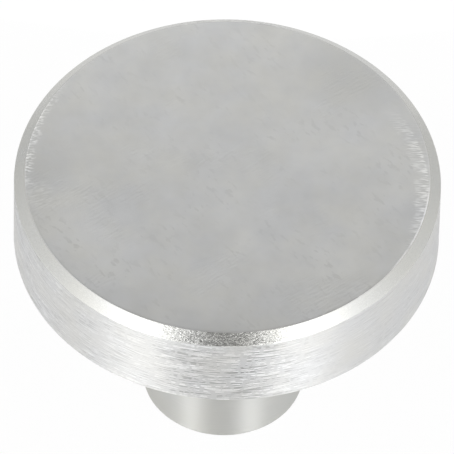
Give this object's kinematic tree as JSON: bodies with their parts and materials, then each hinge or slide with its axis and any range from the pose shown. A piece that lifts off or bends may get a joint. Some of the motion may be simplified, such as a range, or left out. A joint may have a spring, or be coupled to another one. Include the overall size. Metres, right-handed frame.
{
  "type": "cabinet knob",
  "caption": "Round cabinet knob: a flat bevelled disc head on a plain cylindrical stem, with a threaded hole in the stem's end for a screw through a door or drawer front.",
  "frame": {"origin": "centre of the stem's mounting face, the plane of the door or drawer front", "axes": "+Z along the knob's axis, away from the door and out through the front face; X and Y are free, because the knob is round"},
  "size_m": [0.038, 0.038, 0.028],
  "materials": {
    "brushed_stainless": "stainless steel brushed after turning: fine scratches round the rim and bevel, satin front face, smoother stem"
  },
  "bodies": {
    "root": {"knob": "brushed_stainless"}
  },
  "joints": []
}
